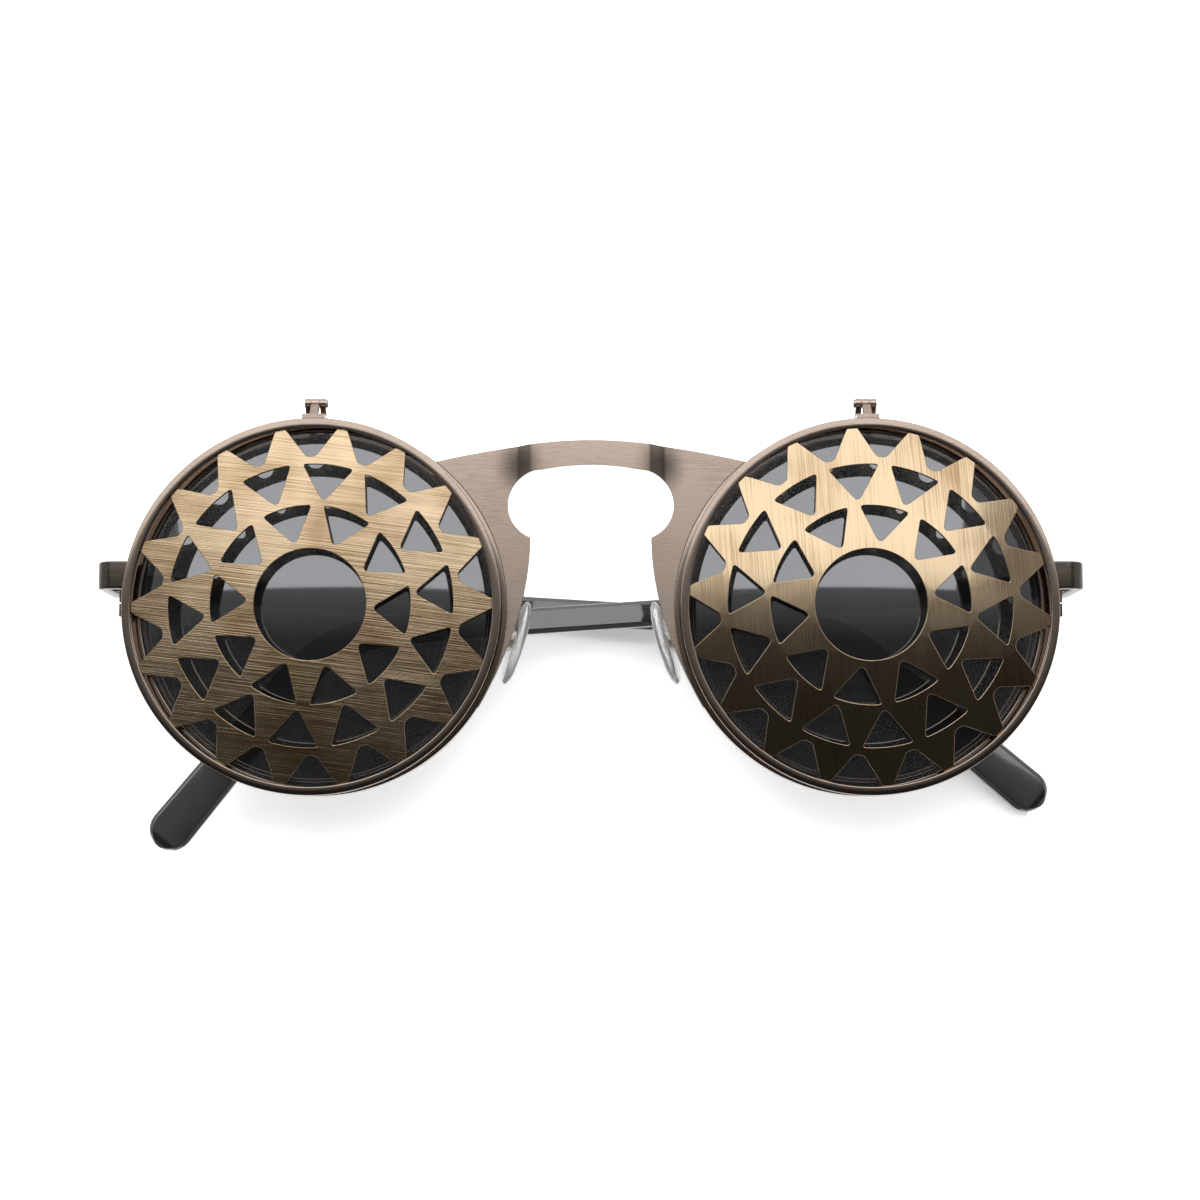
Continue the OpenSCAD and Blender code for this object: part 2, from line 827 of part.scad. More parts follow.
bridge_plate();
rim(-1);  // rim_left
rim(1);  // rim_right
lens(-1);  // lens_left
lens(1);  // lens_right
flip_base(-1);  // flip_base_left
flip_base(1);  // flip_base_right
flip_rim(-1);  // flip_rim_left
flip_rim(1);  // flip_rim_right
screen(-1);  // screen_left
screen(1);  // screen_right
flip_leaf(-1);  // flip_leaf_left
flip_leaf(1);  // flip_leaf_right
flip_screw(-1);  // flip_screw_left
flip_screw(1);  // flip_screw_right
endpiece(-1);  // endpiece_left
endpiece(1);  // endpiece_right
rim_lock(-1);  // rim_lock_left
rim_lock(1);  // rim_lock_right
rim_lock_screw(-1);  // rim_lock_screw_left
rim_lock_screw(1);  // rim_lock_screw_right
hinge_front(-1);  // hinge_front_left
hinge_front(1);  // hinge_front_right
hinge_rear(-1);  // hinge_rear_left
hinge_rear(1);  // hinge_rear_right
temple_screw(-1);  // temple_screw_left
temple_screw(1);  // temple_screw_right
temple_arm(-1);  // temple_arm_left
temple_arm(1);  // temple_arm_right
sleeve(-1);  // sleeve_left
sleeve(1);  // sleeve_right
pad_arm(-1);  // pad_arm_left
pad_arm(1);  // pad_arm_right
pad_box(-1);  // pad_box_left
pad_box(1);  // pad_box_right
nose_pad(-1);  // nose_pad_left
nose_pad(1);  // nose_pad_right
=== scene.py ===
import json
import math

import bmesh
import bpy
from mathutils import Matrix, Vector


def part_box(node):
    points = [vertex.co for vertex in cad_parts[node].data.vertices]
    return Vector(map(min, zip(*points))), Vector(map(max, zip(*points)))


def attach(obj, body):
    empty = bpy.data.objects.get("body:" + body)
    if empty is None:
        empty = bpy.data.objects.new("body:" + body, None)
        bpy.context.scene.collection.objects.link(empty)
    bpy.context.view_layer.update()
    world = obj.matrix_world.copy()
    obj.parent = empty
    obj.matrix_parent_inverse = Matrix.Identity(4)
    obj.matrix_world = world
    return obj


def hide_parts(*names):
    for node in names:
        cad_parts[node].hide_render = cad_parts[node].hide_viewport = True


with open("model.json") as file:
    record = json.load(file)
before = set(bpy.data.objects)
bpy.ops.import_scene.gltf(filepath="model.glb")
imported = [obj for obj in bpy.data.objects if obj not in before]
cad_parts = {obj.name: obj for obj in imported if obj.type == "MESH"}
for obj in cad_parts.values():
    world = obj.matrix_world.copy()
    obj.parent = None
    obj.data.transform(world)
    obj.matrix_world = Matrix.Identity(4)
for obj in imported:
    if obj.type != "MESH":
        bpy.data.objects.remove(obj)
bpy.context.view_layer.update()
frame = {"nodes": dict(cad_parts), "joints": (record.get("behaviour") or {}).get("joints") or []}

# ---------------------------------------------------------------- camera
# The camera stands over the front, a little towards the lower edge, close
# enough that the layers behind the front shift downwards.
MM = 0.001
SIDES = ((-1, "left"), (1, "right"))


def middle(node):
    low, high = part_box(node)
    return (low + high) / 2


rim_y = middle("rim_left").y
front_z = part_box("flip_rim_left")[1].z
elevation = math.radians(84)
distance = 330 * MM
view_w = 166.8 * MM
aim = Vector((1.3 * MM, rim_y + 0.7 * MM, front_z))
camera_data = bpy.data.cameras.new("camera")
camera_data.sensor_width = 36
camera_data.lens = camera_data.sensor_width * distance / view_w
camera = bpy.data.objects.new("camera", camera_data)
camera.location = aim + distance * Vector((0, -math.cos(elevation), math.sin(elevation)))
camera.rotation_euler = (math.pi / 2 - elevation, 0, 0)
bpy.context.scene.collection.objects.link(camera)
bpy.context.scene.camera = camera
bpy.context.scene.view_settings.view_transform = "Standard"


# ---------------------------------------------------------------- fixed rims
# Each fixed rim is a turned bronze ring with a groove for its lens, lacquered
# over a fine satin finish. It is drawn closed, as its lock holds it.
class Term:
    """A value in a node tree. Sums and products of terms add their Math nodes."""

    def __init__(self, web, socket):
        self.web = web
        self.socket = socket

    def math(self, operation, value):
        return self.web.maths(operation, self, value)

    def __add__(self, other):
        return self.math("ADD", other)

    def __radd__(self, other):
        return self.math("ADD", other)

    def __sub__(self, other):
        return self.math("SUBTRACT", other)

    def __rsub__(self, other):
        return self.web.maths("SUBTRACT", other, self)

    def __mul__(self, other):
        return self.math("MULTIPLY", other)

    def __rmul__(self, other):
        return self.math("MULTIPLY", other)


class Web:
    """A node tree that is filled node by node."""

    def __init__(self, tree):
        self.tree = tree

    def join(self, socket, value):
        if isinstance(value, Term):
            self.tree.links.new(value.socket, socket)
        else:
            socket.default_value = value

    def add(self, kind, settings=None, inputs=None, output=0):
        node = self.tree.nodes.new("ShaderNode" + kind)
        for name, value in (settings or {}).items():
            setattr(node, name, value)
        for name, value in (inputs or {}).items():
            self.join(node.inputs[name], value)
        return Term(self, node.outputs[output])

    def maths(self, operation, *values):
        return self.add("Math", {"operation": operation}, dict(enumerate(values)))

    def step(self, value, low, high):
        """0 below low and 1 above high, smooth between."""
        limits = {"From Min": low, "From Max": high}
        return self.add("MapRange", {"interpolation_type": "SMOOTHSTEP"}, {"Value": value, **limits})


class Finish(Web):
    """A material on the Principled shader, with the nodes that vary it."""

    def __init__(self, name, **sockets):
        self.material = bpy.data.materials.new(name)
        self.material.use_nodes = True
        super().__init__(self.material.node_tree)
        self.shader = self.tree.nodes["Principled BSDF"]
        self.feed(**sockets)

    def feed(self, **sockets):
        for name, value in sockets.items():
            self.join(self.shader.inputs[name.replace("_", " ")], value)

    def place(self, scale=(1, 1, 1), turn=0.0):
        """The piece's coordinates in millimetres, turned in the front's plane and then stretched."""
        here = self.add("TexCoord", output="Object")
        spun = self.add("Mapping", inputs={"Vector": here, "Rotation": (0, 0, turn)})
        return self.add("Mapping", inputs={"Vector": spun, "Scale": [s / MM for s in scale]})

    def noise(self, place, detail, roughness=0.5):
        values = {"Vector": place, "Scale": 1.0, "Detail": detail, "Roughness": roughness}
        return self.add("TexNoise", inputs=values)

    def mix(self, share, a, b):
        first = a if isinstance(a, Term) else (*a, 1)
        return self.add("Mix", {"data_type": "RGBA"}, {0: share, 6: first, 7: (*b, 1)}, 2)

    def bump(self, height, depth):
        values = {"Strength": 1.0, "Distance": depth * MM, "Height": height}
        self.feed(Normal=self.add("Bump", inputs=values))


def brushed(name, light, dark, streak, turn, patina, groove, roughness):
    """Lacquered bronze, brushed in lines. Streak is their count per millimetre in X, Y and Z,
    patina how much of the bronze stays light, and groove their depth in millimetres."""
    finish = Finish(name, Metallic=1.0, Coat_Weight=0.05, Coat_Roughness=0.15)
    lines = finish.noise(finish.place(streak, turn), detail=3, roughness=0.7)
    broad = finish.noise(finish.place([s * 0.75 for s in streak], turn), detail=3, roughness=0.55)
    cloud = finish.noise(finish.place((0.11, 0.11, 0.11)), detail=2)
    patina_and_painted_shade = finish.step(lines * 0.45 + broad * 0.35 + cloud * 0.45, patina - 0.15, patina + 0.15)
    finish.colour = finish.mix(patina_and_painted_shade, light, dark)
    finish.feed(Base_Color=finish.colour)
    finish.feed(Roughness=roughness + (lines - 0.5) * 0.12)
    finish.bump(broad + lines * 0.15, groove)
    return finish


def build(name, bm, finish, smooth=35, edge=0.0, domed=False):
    """Makes the bmesh an object. Faces that meet at less than smooth degrees are shaded as one,
    and the other edges are rounded by edge millimetres. A domed piece keeps its curved shading."""
    bmesh.ops.remove_doubles(bm, verts=bm.verts, dist=0.002 * MM)
    bmesh.ops.recalc_face_normals(bm, faces=bm.faces)
    mesh = bpy.data.meshes.new(name)
    bm.to_mesh(mesh)
    bm.free()
    mesh.shade_smooth()
    mesh.materials.append(finish.material)
    piece = bpy.data.objects.new(name, mesh)
    bpy.context.scene.collection.objects.link(piece)
    if edge:
        bevel = piece.modifiers.new("rounded edges", "BEVEL")
        bevel.width = edge * MM
        bevel.segments = 2
        bevel.limit_method = "ANGLE"
        bevel.angle_limit = math.radians(smooth)
        bevel.harden_normals = domed
        if not domed:
            weighted = piece.modifiers.new("flat faces stay flat", "WEIGHTED_NORMAL")
            weighted.mode = "FACE_AREA"
            weighted.weight = 90
    else:
        mesh.set_sharp_from_angle(angle=math.radians(smooth))
    return piece


def fit(piece, body, slot, *nodes):
    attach(piece, body)
    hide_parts(*nodes)
    return piece


def turned(bm, centre, points, steps=192, close=True):
    """Spins a section, given in X and Z, about the vertical line through centre."""
    verts = [bm.verts.new((x, 0, z)) for x, z in points]
    pairs = zip(verts, verts[1:] + verts[:1] if close else verts[1:])
    geom = verts + [bm.edges.new(pair) for pair in pairs]
    bmesh.ops.spin(bm, geom=geom, cent=(0, 0, 0), axis=(0, 0, 1), dvec=(0, 0, 0), angle=math.tau,
                   steps=steps, use_merge=True, use_duplicate=False)
    bmesh.ops.remove_doubles(bm, verts=bm.verts, dist=0.002 * MM)
    bmesh.ops.translate(bm, verts=bm.verts, vec=centre)


def ring(centre, radius, wall, depth, groove, groove_w):
    """A grooved ring. Its centre is the middle of its back face."""
    inner = radius - wall
    low = (depth - groove_w) / 2
    high = (depth + groove_w) / 2
    points = [(inner, 0), (radius, 0), (radius, depth), (inner, depth)]
    points += [(inner, high), (inner + groove, high), (inner + groove, low), (inner, low)]
    bm = bmesh.new()
    turned(bm, centre, points)
    return bm


def back_centre(node):
    place = middle(node)
    place.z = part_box(node)[0].z
    return place


bronze_light = (0.28, 0.226, 0.188)
bronze_dark = (0.22, 0.174, 0.142)
ring_bronze = brushed("lacquered_ring_bronze", bronze_light, bronze_dark, streak=(0.5, 9.0, 9.0), turn=0.0,
                      patina=0.70, groove=0.0002, roughness=0.1)
rim_wall = 1.3 * MM
rim_groove = 0.4 * MM
rim_groove_w = 0.8 * MM
for side, hand in SIDES:
    low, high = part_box("rim_" + hand)
    size = high - low
    rim = ring(back_centre("rim_" + hand), size.x / 2, rim_wall, size.z, rim_groove, rim_groove_w)
    fit(build("turned_rim_" + hand, rim, ring_bronze, edge=0.16), "front", "bronze_frame", "rim_" + hand)

# ---------------------------------------------------------------- lenses
# Each lens is smoke-tinted and curved, with a ridge that sits in the rim's
# groove. A flash coat gives it a grey reflection.
smoke_dark = (0.134, 0.137, 0.143)
smoke_light = (0.154, 0.157, 0.164)
smoke = Finish("smoke_lens_tint", Metallic=0.91, Roughness=0.04, Alpha=0.9)
smoke.feed(Coat_Weight=0.2, Coat_Roughness=0.02)
haze = smoke.noise(smoke.place((0.05, 0.05, 0.05)), detail=2)
smoke.feed(Base_Color=smoke.mix(haze, smoke_dark, smoke_light))
lens_curve = 130 * MM
lens_t = 1.8 * MM
lens_ridge = 0.7 * MM
lens_chamfer = 0.15 * MM


def arc_points(radius, offset, reach, count):
    """A shallow dome's section, from its axis out to reach. Offset is its height at reach."""
    sink = offset - math.sqrt(radius ** 2 - reach ** 2)
    out = [reach * i / count for i in range(count + 1)]
    return [(x, math.sqrt(radius ** 2 - x ** 2) + sink) for x in out]


for side, hand in SIDES:
    low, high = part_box("rim_" + hand)
    reach = (high.x - low.x) / 2 - rim_wall - 0.05 * MM
    ridge = reach + rim_groove
    face = arc_points(lens_curve, lens_t / 2, reach - lens_chamfer, 16)
    back = arc_points(lens_curve, -lens_t / 2, reach - lens_chamfer, 16)
    edge = [(reach, lens_t / 2 - lens_chamfer), (reach, lens_ridge / 2), (ridge, lens_ridge / 2),
            (ridge, -lens_ridge / 2), (reach, -lens_ridge / 2), (reach, lens_chamfer - lens_t / 2)]
    bm = bmesh.new()
    centre = middle("rim_" + hand)
    turned(bm, centre, face + edge + back[::-1], steps=128, close=False)
    fit(build("smoke_lens_" + hand, bm, smoke, smooth=25), "front", "smoke_lens", "lens_" + hand)

# ---------------------------------------------------------------- flip rings
# Each flip ring is turned like the rims, and grooved inside for the screen,
# which is sprung in.
flip_wall = 1.2 * MM
flip_groove = 0.35 * MM
flip_groove_w = 0.85 * MM
for side, hand in SIDES:
    low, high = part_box("flip_rim_" + hand)
    size = high - low
    bm = ring(back_centre("flip_rim_" + hand), size.x / 2, flip_wall, size.z, flip_groove, flip_groove_w)
    piece = build("turned_flip_ring_" + hand, bm, ring_bronze, edge=0.16)
    fit(piece, "flip_" + hand, "bronze_frame", "flip_rim_" + hand)

# ---------------------------------------------------------------- screens
# Each screen is cut from thin bronze sheet, domed, and sprung into its ring's
# groove. The left one is brushed across, and the right one up and down.
screen_t = 0.6 * MM
screen_rise = 2 * MM
eye_r = 7.8 * MM
teeth = 18
mid_windows = 14
inner_windows = 10
tip_w = 1.1 * MM
gap_root_w = 1.3 * MM
window_bar = 1.75 * MM
corner = 0.5 * MM
# Degrees that the teeth, the outer windows and the inner windows are turned.
turns = {"left": (0.7, 6.4, 32.5), "right": (15.1, 19.3, 9.3)}
flip_low, flip_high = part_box("flip_rim_left")
screen_r = (flip_high.x - flip_low.x) / 2 - flip_wall + flip_groove - 0.05 * MM
gap_root_r = screen_r - 4.6 * MM
mid_arc_r = gap_root_r - 1.1 * MM
inner_apex_r = eye_r + 1.2 * MM
inner_arc_r = inner_apex_r + 4.9 * MM
mid_apex_r = inner_arc_r + 1 * MM
screen_ball = (screen_r ** 2 + screen_rise ** 2) / 2 / screen_rise


def polar(radius, angle):
    return Vector((radius * math.cos(angle), radius * math.sin(angle), 0))


def bow(a, b, c, count=3):
    steps = [i / count for i in range(count + 1)]
    return [(1 - t) ** 2 * a + 2 * t * (1 - t) * b + t ** 2 * c for t in steps]


def rounded(a, b, c, cut):
    """The corner b between a and c, rounded back by cut along each side."""
    return bow(b + (a - b).normalized() * cut, b, b + (c - b).normalized() * cut)


def half_angle(width, radius):
    return math.asin(width / 2 / radius)


def tooth_gap():
    """One gap of the screen's edge, from tooth to tooth."""
    wide = math.pi / teeth - half_angle(tip_w, screen_r)
    lip = polar(screen_r, -wide)
    root = Vector((gap_root_r, -gap_root_w / 2, 0))
    flip = Vector((1, -1, 1))
    near_corner = rounded(lip, root, root * flip, corner)
    far_corner = rounded(root, root * flip, lip * flip, corner)
    return [lip] + near_corner + far_corner + [lip * flip]


def window(arc_r, apex_r, count):
    """One window, with an arc outside and a rounded point inside."""
    wide = math.pi / count - half_angle(window_bar, arc_r)
    near = corner / arc_r
    a = polar(arc_r, -wide)
    b = polar(arc_r, wide)
    tip = Vector((apex_r - corner, 0, 0))
    arc = [polar(arc_r, (near - wide) * (1 - t / 4)) for t in range(1, 8)]
    return (bow(a + (tip - a).normalized() * corner, a, polar(arc_r, near - wide)) + arc
            + bow(polar(arc_r, wide - near), b, b + (tip - b).normalized() * corner)
            + rounded(b, tip, a, 2 * corner))


def loop(bm, points, turn=0.0):
    spin = Matrix.Rotation(turn, 3, "Z")
    verts = [bm.verts.new(spin @ p) for p in points]
    return [bm.edges.new(pair) for pair in zip(verts, verts[1:] + verts[:1])]


def edge_outline():
    """The whole toothed edge: gaps, with an arc across each tooth's tip."""
    pitch = math.tau / teeth
    gap = tooth_gap()
    half = math.atan2(gap[-1].y, gap[-1].x)
    points = []
    for k in range(teeth):
        spin = Matrix.Rotation((k + 0.5) * pitch, 3, "Z")
        points += [spin @ p for p in gap]
        points += [spin @ polar(screen_r, half + (pitch - 2 * half) * t / 4) for t in range(1, 4)]
    return points


def screen_mesh(hand):
    turn, outer_turn, inner_turn = [math.radians(a) for a in turns[hand]]
    mid_pitch = math.tau / mid_windows
    inner_pitch = math.tau / inner_windows
    bm = bmesh.new()
    edges = loop(bm, edge_outline(), turn)
    edges += loop(bm, [polar(eye_r, math.tau * i / 96) for i in range(96)])
    for k in range(mid_windows):
        edges += loop(bm, window(mid_arc_r, mid_apex_r, mid_windows), outer_turn + k * mid_pitch)
    for k in range(inner_windows):
        edges += loop(bm, window(inner_arc_r, inner_apex_r, inner_windows), inner_turn + k * inner_pitch)
    bmesh.ops.remove_doubles(bm, verts=bm.verts, dist=0.002 * MM)
    bmesh.ops.triangle_fill(bm, use_beauty=True, use_dissolve=False, edges=bm.edges[:], normal=(0, 0, 1))
    bmesh.ops.recalc_face_normals(bm, faces=bm.faces)
    sink = math.sqrt(screen_ball ** 2 - screen_r ** 2) - screen_t / 2
    for vert in bm.verts:
        vert.co.z = math.sqrt(screen_ball ** 2 - vert.co.xy.length_squared) - sink
    bmesh.ops.solidify(bm, geom=bm.faces[:], thickness=screen_t)
    bmesh.ops.translate(bm, verts=bm.verts, vec=middle("flip_rim_" + hand))
    return bm


screen_light = (0.43, 0.332, 0.218)
screen_dark = (0.2, 0.127, 0.066)
across = brushed("bronze_brushed_across", screen_light, screen_dark, streak=(0.05, 8.0, 0.5),
                 turn=math.radians(7), patina=0.665, groove=0.03, roughness=0.24)
upright = brushed("bronze_brushed_upright", screen_light, screen_dark, streak=(8.0, 0.05, 0.5),
                  turn=math.radians(-4), patina=0.72, groove=0.005, roughness=0.14)
for hand, finish in (("left", across), ("right", upright)):
    piece = build("sunburst_screen_" + hand, screen_mesh(hand), finish, edge=0.14, domed=True)
    fit(piece, "flip_" + hand, "brushed_screen", "screen_" + hand)

# ---------------------------------------------------------------- bridge
# The bridge is pressed from one sheet: two wings that are soldered to the
# rims, and an arch that is set forward between two bends. The bends carry
# painted shade: dark spots painted into the bronze's colour, standing in for
# the dark reflection that the bends' turned faces catch.


def from_cad(node):
    """A merged copy of a CAD node's mesh, with its flat faces whole."""
    bm = bmesh.new()
    bm.from_mesh(frame["nodes"][node].data)
    bmesh.ops.remove_doubles(bm, verts=bm.verts, dist=0.002 * MM)
    bmesh.ops.dissolve_limit(bm, angle_limit=math.radians(0.3), verts=bm.verts, edges=bm.edges)
    return bm


bridge_light = (0.345, 0.275, 0.228)
bridge_dark = (0.27, 0.212, 0.175)
# Painted shade: the dark colour painted onto the bridge's bends.
painted_bend_shade = (0.035, 0.028, 0.024)
bend_x = 10.0
bend_y = rim_y / MM + 20.2
squat = 0.8
bronze = brushed("satin_bridge_bronze_painted_bend_shade", bridge_light, bridge_dark, streak=(0.5, 6.0, 0.5), turn=0.0,
                 patina=0.70, groove=0.0006, roughness=0.27)
here = bronze.add("VectorMath", {"operation": "MULTIPLY"}, {0: bronze.place(), 1: (1, squat, 0)})
# Painted shade: a soft dark spot at each bend, mixed into the bridge's colour.
patina_and_painted_shade = 0
for side, hand in SIDES:
    bend = (side * bend_x, bend_y * squat, 0)
    away = bronze.add("VectorMath", {"operation": "DISTANCE"}, {0: here, 1: bend}, "Value")
    patina_and_painted_shade = patina_and_painted_shade + (1 - bronze.step(away, 0.4, 4.3))
bronze.feed(Base_Color=bronze.mix(patina_and_painted_shade * 0.85, bronze.colour, painted_bend_shade))
piece = build("pressed_bridge", from_cad("bridge_plate"), bronze, edge=0.12)
fit(piece, "front", "bronze_frame", "bridge_plate")

# ---------------------------------------------------------------- flip hinges
# Each flip ring turns on two fixed knuckles and one of its own, on a small
# screw. The knuckles and leaves are soldered to the rims.
# Painted shade: the endpieces, rim locks, temple hinge leaves and arms take the frame's bronze painted far
# darker than the rims, standing in for the dark reflections these parts catch.
painted_shade_bronze_light = (0.085, 0.07, 0.06)
painted_shade_bronze_dark = (0.045, 0.036, 0.03)
dark_bronze = brushed("dark_bronze", painted_shade_bronze_light, painted_shade_bronze_dark, streak=(0.4, 6.0, 6.0), turn=0.0,
                      patina=0.68, groove=0.001, roughness=0.25)
steel_light = (0.50, 0.47, 0.43)
steel_dark = (0.30, 0.28, 0.26)
steel = Finish("screw_steel", Metallic=1.0)
turned_marks = steel.noise(steel.place((9, 9, 9)), detail=2)
steel.feed(Base_Color=steel.mix(turned_marks, steel_light, steel_dark))
steel.feed(Roughness=0.2 + turned_marks * 0.15)
steel.bump(turned_marks, 0.002)


def screw(bm, place, head_r, head_h, shank_r, shank_l):
    """A slotted screw: place turns +Z to the head's top, with the head's seat at zero."""
    slot_w = head_r * 0.34
    slot_d = head_h * 0.5
    base = head_h - slot_d

    def cylinder(low_r, high_r, height, at, segments):
        """A cylinder or cone, standing on the height at."""
        lift = Matrix.Translation((0, 0, at + height / 2))
        made = bmesh.ops.create_cone(bm, cap_ends=True, segments=segments, radius1=low_r,
                                     radius2=high_r, depth=height, matrix=lift)
        return made["verts"]

    parts = cylinder(head_r, head_r, base, 0, 32) + cylinder(shank_r, shank_r, shank_l, -shank_l, 24)
    for half in (-1, 1):
        cap = cylinder(head_r, head_r * 0.86, slot_d, base, 32)
        faces = {f for v in cap for f in v.link_faces}
        edges = {e for v in cap for e in v.link_edges}
        cut = bmesh.ops.bisect_plane(bm, geom=[*cap, *edges, *faces], dist=0.001 * MM, clear_inner=True,
                                     plane_co=(half * slot_w / 2, 0, 0), plane_no=(half, 0, 0))["geom_cut"]
        wall = [e for e in cut if isinstance(e, bmesh.types.BMEdge)]
        bmesh.ops.edgenet_fill(bm, edges=wall)
        parts += [v for v in cap if v.is_valid]
        parts += [v for v in cut if isinstance(v, bmesh.types.BMVert)]
    bmesh.ops.transform(bm, matrix=place, verts=list(set(parts)))


for side, hand in SIDES:
    base = build("hinge_knuckles_" + hand, from_cad("flip_base_" + hand), bronze, edge=0.07)
    fit(base, "front", "bronze_frame", "flip_base_" + hand)
    leaf = build("flip_ring_leaf_" + hand, from_cad("flip_leaf_" + hand), bronze, edge=0.07)
    fit(leaf, "flip_" + hand, "bronze_frame", "flip_leaf_" + hand)
    low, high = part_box("flip_screw_" + hand)
    head_h = 0.35 * MM
    shank_r = 0.35 * MM
    seat = (high.x - head_h) if side < 0 else (low.x + head_h)
    place = Matrix.Translation((seat, (low.y + high.y) / 2, (low.z + high.z) / 2))
    place = place @ Matrix.Rotation(-side * math.pi / 2, 4, "Y")
    bm = bmesh.new()
    screw(bm, place, (high.y - low.y) / 2, head_h, shank_r, high.x - low.x - head_h)
    fit(build("flip_hinge_screw_" + hand, bm, steel), "flip_" + hand, "screw_steel", "flip_screw_" + hand)

# ---------------------------------------------------------------- endpieces
# An endpiece is a bent strip, from the rim round the corner back to the
# temple hinge. The lock below it closes the rim round its lens.
for side, hand in SIDES:
    # The endpiece's bronze is painted dark, as painted shade.
    piece = build("bent_endpiece_" + hand, from_cad("endpiece_" + hand), dark_bronze, edge=0.28)
    fit(piece, "front", "bronze_frame", "endpiece_" + hand)
    lock = build("rim_lock_blocks_" + hand, from_cad("rim_lock_" + hand), dark_bronze, edge=0.12)
    fit(lock, "front", "dark_bronze", "rim_lock_" + hand)
    low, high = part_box("rim_lock_screw_" + hand)
    head_h = 0.2 * MM
    head_r = (high.x - low.x) / 2
    place = Matrix.Translation(((low.x + high.x) / 2, low.y + head_h, (low.z + high.z) / 2))
    place = place @ Matrix.Rotation(math.pi / 2, 4, "X")
    bm = bmesh.new()
    screw(bm, place, head_r, head_h, head_r - 0.25 * MM, high.y - low.y - head_h)
    fit(build("lock_screw_" + hand, bm, steel), "front", "screw_steel", "rim_lock_screw_" + hand)

# ---------------------------------------------------------------- temple hinges
# A three-knuckle hinge joins each temple to its endpiece, on a slotted screw.
# Its leaves are soldered to the endpiece and to the temple's arm.
joints = {joint["name"]: joint for joint in frame["joints"]}


def temple_frame(side, hand):
    """Place of a temple at rest: x along the arm from the hinge, z out of its upper face."""
    joint = joints["temple_" + hand + "_fold"]
    pivot = Vector(joint["pos_m"])
    pivot.x = -abs(pivot.x)
    droop = math.atan2(abs(joint["axis"][0]), abs(joint["axis"][1]))
    lift = math.radians(joint["range_deg"][1] - 90)
    mirror = Matrix.Scale(-1, 4, (1, 0, 0)) if side > 0 else Matrix.Identity(4)
    turned_back = Matrix.Rotation(-droop, 4, "Z") @ Matrix.Rotation(-lift, 4, "Y")
    return mirror @ Matrix.Translation(pivot) @ turned_back


for side, hand in SIDES:
    # The leaves' bronze is painted dark, as painted shade.
    front_leaf = build("front_hinge_leaf_" + hand, from_cad("hinge_front_" + hand), dark_bronze, edge=0.08)
    fit(front_leaf, "front", "dark_bronze", "hinge_front_" + hand)
    rear_leaf = build("temple_hinge_leaf_" + hand, from_cad("hinge_rear_" + hand), dark_bronze, edge=0.08)
    fit(rear_leaf, "temple_" + hand, "dark_bronze", "hinge_rear_" + hand)
    hinge_screw = frame["nodes"]["temple_screw_" + hand]
    hinge_screw.data.materials.clear()
    hinge_screw.data.materials.append(steel.material)

# ---------------------------------------------------------------- temples
# Each arm is a flat strip that runs on inside a glossy black sleeve. The
# sleeve has wide bevels, bends down behind the ear and ends round.
black = Finish("black_sleeve_gloss", Roughness=0.09, Specular_IOR_Level=0.7)
black.feed(Coat_Weight=1.0, Coat_Roughness=0.03)
cloud = black.noise(black.place((0.35, 0.35, 0.35)), detail=3)
black.feed(Base_Color=black.mix(cloud, (0.010, 0.010, 0.011), (0.022, 0.022, 0.023)))
black.bump(cloud, 0.01)
temple_len = 141.5 * MM
bend_start = 95.3 * MM
bend_r = 20 * MM
bends = {"left": math.radians(37), "right": math.radians(47)}
sleeve_start = 31.5 * MM
sleeve_h = 3.8 * MM
sleeve_t = 2.6 * MM
tip_h = 6.2 * MM
sleeve_bevel = 0.6 * MM
face_tilt = math.radians(2.6)


def temple_at(s, bend):
    """Point and heading on a temple's middle line, s along it from the hinge."""
    turn = min(bend, max(0.0, (s - bend_start) / bend_r))
    run = max(0.0, s - bend_start - bend_r * bend)
    x = min(s, bend_start) + bend_r * math.sin(turn) + run * math.cos(bend)
    y = -bend_r * (1 - math.cos(turn)) - run * math.sin(bend)
    return Vector((x, y, 0)), -turn


def sleeve_half(s):
    grown = max(0.0, (s - bend_start + 6 * MM) / (temple_len - tip_h / 2 - bend_start + 6 * MM))
    half = sleeve_h / 2 + (tip_h - sleeve_h) / 2 * grown ** 0.7
    past_cap = s - (temple_len - tip_h / 2)
    if past_cap > 0:
        half = min(half, math.sqrt(max(0.0, (tip_h / 2) ** 2 - past_cap ** 2)))
    return half


def sleeve_section(half, thick):
    """Eight points of the sleeve's bevelled section, in Y and Z."""
    cut = min(sleeve_bevel, half * 0.45)
    slope = (half - cut) * 2 * math.sin(face_tilt)
    up = thick / 2
    top = [(half, up - cut), (half - cut, up - slope), (cut - half, up), (-half, up - cut)]
    return top + [(-half, cut - up), (cut - half, -up), (half - cut, -up), (half, cut - up)]


